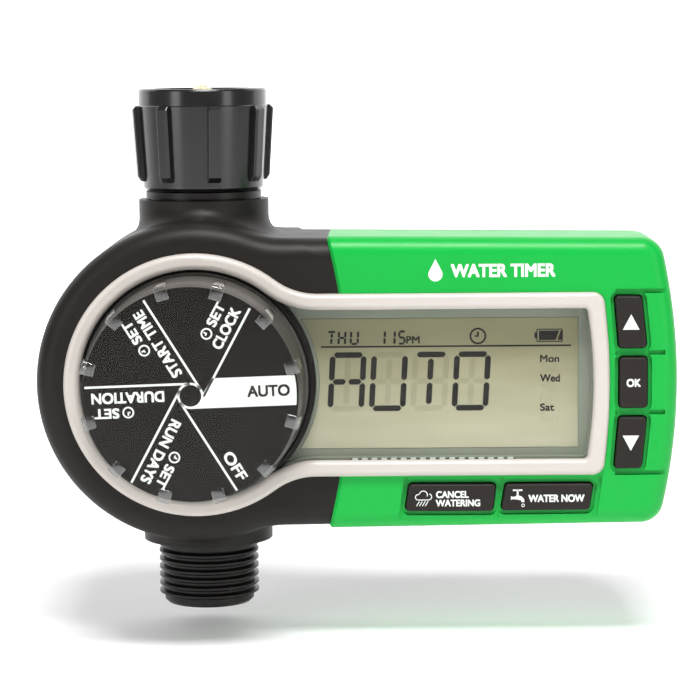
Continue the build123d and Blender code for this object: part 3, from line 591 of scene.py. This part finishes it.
def tap_sign(art, x, z):
    """Garden tap with a drop under its spout."""
    art.at(x, z)
    art.bar((-1.25, 1.95), (1.25, 1.95), 0.42)
    art.bar((0, 2.1), (0, 0.5), 0.5)
    art.polygon([(-1.75, 0.35), (-1.75, -0.65), (-1.3, -0.4), (0.15, -0.55), (0.9, -0.75), (1.0, -1.2),
                 (1.8, -1.2), (1.65, -0.35), (0.95, 0.35), (0.45, 0.45), (0.3, 0.75), (-0.3, 0.75),
                 (-0.45, 0.35), (-1.2, 0.2)])
    art.arc(0.36, 0.2, x=1.4, z=-2.05)
    art.polygon([(1.15, -1.85), (1.65, -1.85), (1.4, -1.4)])


def cover_mark():
    """Plain water drop and two plain words where a maker would put a mark."""
    art = Artwork(GREEN_FRONT)
    x, z = 61.5, -47.0
    art.at(x, z)
    drop = [(0.0, 3.1)]
    for step in range(13):
        angle = math.radians(35 - 250 * step / 12)
        drop.append((1.85 * math.cos(angle), -0.9 + 1.85 * math.sin(angle)))
    art.polygon(drop)
    art.at(0, 0)
    art.letters("WATER TIMER", x + 4.0, z - 1.75, 27.0, 3.5, weight=0.16)
    art.done("cover_mark", "housing", "green_plastic", "white")


# ---------------------------------------------------------------- strainer

def strainer():
    """Cone of woven mesh that stands for the plain cone."""
    low, high = (Vector(corner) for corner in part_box("inlet_strainer"))
    bm = bmesh.new()
    around, rows = 40, 16
    foot_r, tip_r = 7.9 * MM, 2.2 * MM
    rings = []
    for row in range(rows + 1):
        part = row / rows
        radius = foot_r + (tip_r - foot_r) * part
        z = low.z + 0.7 * MM + (high.z - low.z - 1.1 * MM) * part
        rings.append([bm.verts.new((radius * math.cos(math.tau * (k + row / 2) / around),
                                    radius * math.sin(math.tau * (k + row / 2) / around), z))
                      for k in range(around)])
    for row in range(rows):
        for k in range(around):
            nxt = (k + 1) % around
            bm.faces.new((rings[row][k], rings[row][nxt], rings[row + 1][k]))
            bm.faces.new((rings[row][nxt], rings[row + 1][nxt], rings[row + 1][k]))
    tip = bm.verts.new((0, 0, high.z - 0.25 * MM))
    for k in range(around):
        bm.faces.new((rings[rows][k], rings[rows][(k + 1) % around], tip))
    wires = finished("strainer_weave", bm, "housing", FINISH["strainer_mesh"])
    lattice = wires.modifiers.new("wires", "WIREFRAME")
    lattice.thickness = 0.28 * MM
    lattice.use_replace = True
    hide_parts("inlet_strainer")


# ---------------------------------------------------------------- return spring

def return_spring():
    """Wound wire of three turns that stands for the plain spring."""
    low, high = (Vector(corner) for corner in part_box("plunger_spring"))
    middle = (low + high) / 2
    wire = 0.35 * MM
    coil = (high.z - low.z) / 2 - wire
    length = high.x - low.x - 2 * wire
    turns, sides, steps = 3, 8, 96
    bm = bmesh.new()
    rings = []
    for step in range(steps + 1):
        part = step / steps
        angle = math.tau * turns * part
        out = Vector((0, math.cos(angle), math.sin(angle)))
        ring_centre = Vector((low.x + wire + length * part, middle.y, middle.z)) + out * coil
        rings.append([])
        for side in range(sides):
            around = math.tau * side / sides
            offset = out * (wire * math.cos(around)) + Vector((wire * math.sin(around), 0, 0))
            rings[-1].append(bm.verts.new(ring_centre + offset))
    for near, far in zip(rings, rings[1:]):
        for side in range(sides):
            after = (side + 1) % sides
            bm.faces.new((near[side], near[after], far[after], far[side]))
    bm.faces.new(rings[0][::-1])
    bm.faces.new(rings[-1])
    bmesh.ops.recalc_face_normals(bm, faces=bm.faces)
    spring = finished("return_spring", bm, "housing", FINISH["contact_metal"])
    for face in spring.data.polygons:
        face.use_smooth = True
    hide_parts("plunger_spring")
    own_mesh(spring)


for build in (dial_print, cap_grips, display_marks, painted_pin_glints, button_marks, cover_mark, strainer,
              return_spring):
    build()


# ---------------------------------------------------------------- studio

def studio():
    """Pale floor that sweeps up behind the object and glows more with distance, and soft boxes."""
    bm = bmesh.new()
    rows = [(-3.0, FLOOR_Z), (1.0, FLOOR_Z)]
    for step in range(1, 9):
        angle = math.radians(90 * step / 8)
        rows.append((1.0 + 0.8 * math.sin(angle), FLOOR_Z + 0.8 * (1 - math.cos(angle))))
    rows.append((1.8, 4.0))
    pairs = [[bm.verts.new((x, y, z)) for x in (-4.0, 4.0)] for y, z in rows]
    for near, far in zip(pairs, pairs[1:]):
        bm.faces.new((near[0], near[1], far[1], far[0]))
    mesh = bpy.data.meshes.new("floor")
    bm.to_mesh(mesh)
    bm.free()
    floor = bpy.data.objects.new("floor", mesh)
    bpy.context.collection.objects.link(floor)
    m = Nodes("floor_paint")
    m.link(m.blend(m.noise(3.0), srgb("FBFBFB"), srgb("FFFFFF")), m.shader.inputs["Base Color"])
    m.set(Roughness=0.9, Specular_IOR_Level=0.1, Emission_Color=(1, 1, 1, 1))
    reach = m.add("ShaderNodeSeparateXYZ")
    m.link(m.coords, reach.inputs["Vector"])
    glow = m.add("ShaderNodeMapRange")
    for key, value in (("From Min", 0.12), ("From Max", 0.9), ("To Min", 0.14), ("To Max", 1.0)):
        glow.inputs[key].default_value = value
    m.link(reach.outputs["Y"], glow.inputs["Value"])
    m.link(glow.outputs["Result"], m.shader.inputs["Emission Strength"])
    mesh.materials.append(m.material)
    for face in mesh.polygons:
        face.use_smooth = True
    world = bpy.data.worlds.new("studio")
    bpy.context.scene.world = world
    world.use_nodes = True
    world.node_tree.nodes["Background"].inputs["Color"].default_value = (1.0, 1.0, 1.0, 1.0)
    world.node_tree.nodes["Background"].inputs["Strength"].default_value = 0.19
    soft_box("key_top", (0.08, -0.42, 0.72), (0.04, 0.0, -0.07), (0.42, 0.22), 8.6)
    soft_box("fill_left", (-0.75, -0.75, 0.1), (0.0, 0.0, -0.07), (0.3, 0.9), 2.6)
    soft_box("fill_right", (0.85, -0.75, 0.1), (0.05, 0.0, -0.07), (0.3, 0.9), 2.2)


def soft_box(name, place, target, size, power):
    """Rectangular area light aimed at a point."""
    data = bpy.data.lights.new(name, "AREA")
    data.shape = "RECTANGLE"
    data.size, data.size_y = size
    data.energy = power
    lamp = bpy.data.objects.new(name, data)
    bpy.context.collection.objects.link(lamp)
    lamp.location = place
    lamp.rotation_euler = (Vector(target) - Vector(place)).to_track_quat("-Z", "Y").to_euler()


def camera():
    """Camera 0.71 m in front of the pipe, level with the nut's mouth, looking slightly down."""
    place = Vector((0.047, -0.712, 0.011))
    yaw, pitch, roll = math.radians(0.65), math.radians(6.55), math.radians(0.5)
    ahead = Vector((-math.sin(yaw) * math.cos(pitch), math.cos(yaw) * math.cos(pitch), -math.sin(pitch)))
    right = ahead.cross(Vector((0, 0, 1))).normalized()
    up = right.cross(ahead)
    tilted = right * math.cos(roll) - up * math.sin(roll)
    risen = up * math.cos(roll) + right * math.sin(roll)
    data = bpy.data.cameras.new("camera")
    data.sensor_width = 36.0
    data.lens = 136.3
    data.clip_start = 0.01
    eye = bpy.data.objects.new("camera", data)
    bpy.context.collection.objects.link(eye)
    eye.matrix_world = Matrix((
        (tilted.x, risen.x, -ahead.x, place.x),
        (tilted.y, risen.y, -ahead.y, place.y),
        (tilted.z, risen.z, -ahead.z, place.z),
        (0, 0, 0, 1)))
    bpy.context.scene.camera = eye


bpy.context.scene.view_settings.view_transform = "Standard"
studio()
camera()
